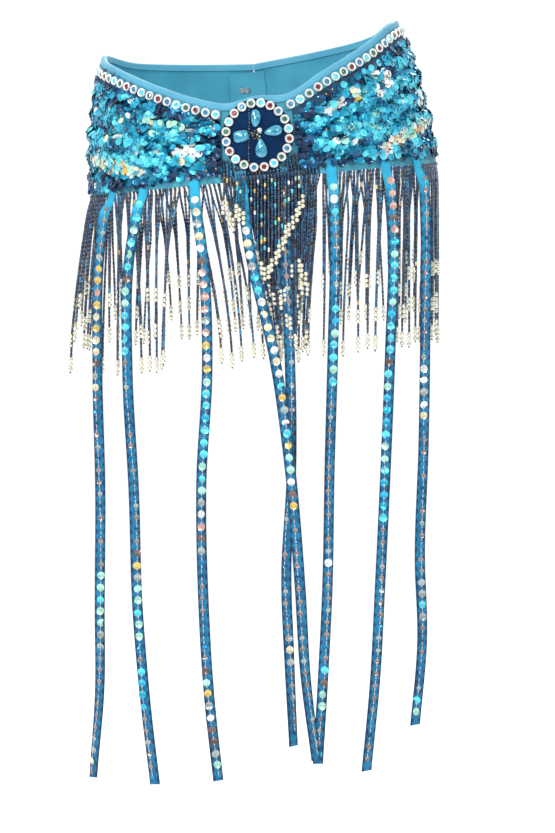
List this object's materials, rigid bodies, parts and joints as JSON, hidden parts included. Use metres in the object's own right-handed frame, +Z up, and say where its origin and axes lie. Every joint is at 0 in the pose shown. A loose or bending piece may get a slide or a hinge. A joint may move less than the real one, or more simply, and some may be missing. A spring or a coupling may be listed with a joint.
{
  "type": "sequin dance hip belt",
  "caption": "Worn hip belt of draped sequin cloth with a stone medallion, a row of set stones, beaded fringe and long sequinned ribbons.",
  "frame": {"origin": "middle of the hips that the belt is worn on, inside the ring and half way up its sides", "axes": "+Z up with the fringe and ribbons hanging down, front with the medallion towards -Y, higher side of the tilted belt towards +X"},
  "size_m": [0.373, 0.2593, 0.7625],
  "materials": {
    "base_cloth": "matte",
    "sequin_cloth": "sequinned",
    "set_stones": "polished cups with cut stones",
    "medallion_cloth": "matte",
    "blue_glass": "polished",
    "bead_strands": "iridescent beads with silvered ends",
    "ribbon_cloth": "satin",
    "hook_metal": "satin"
  },
  "bodies": {
    "root": {"band_front": "base_cloth", "band_back_left": "base_cloth", "band_back_right": "base_cloth", "back_underlap": "base_cloth", "back_hook_1": "hook_metal", "back_hook_2": "hook_metal", "back_hook_3": "hook_metal", "binding": "base_cloth", "drape_left": "sequin_cloth", "drape_right": "sequin_cloth", "stone_row_left": "set_stones", "stone_row_right": "set_stones", "medallion_disc": "medallion_cloth", "medallion_rim": "set_stones", "medallion_petal_1": "blue_glass", "medallion_petal_2": "blue_glass", "medallion_petal_3": "blue_glass", "medallion_petal_4": "blue_glass", "medallion_centre": "set_stones", "fringe_front_left": "bead_strands", "fringe_front_centre": "bead_strands", "fringe_front_right": "bead_strands", "fringe_back_left": "bead_strands", "fringe_back_right": "bead_strands", "fringe_medallion": "bead_strands", "ribbon_1": "ribbon_cloth", "ribbon_2": "ribbon_cloth", "ribbon_3": "ribbon_cloth", "ribbon_4": "ribbon_cloth", "ribbon_5": "ribbon_cloth", "ribbon_6": "ribbon_cloth", "ribbon_7": "ribbon_cloth", "ribbon_8": "ribbon_cloth"}
  },
  "joints": []
}
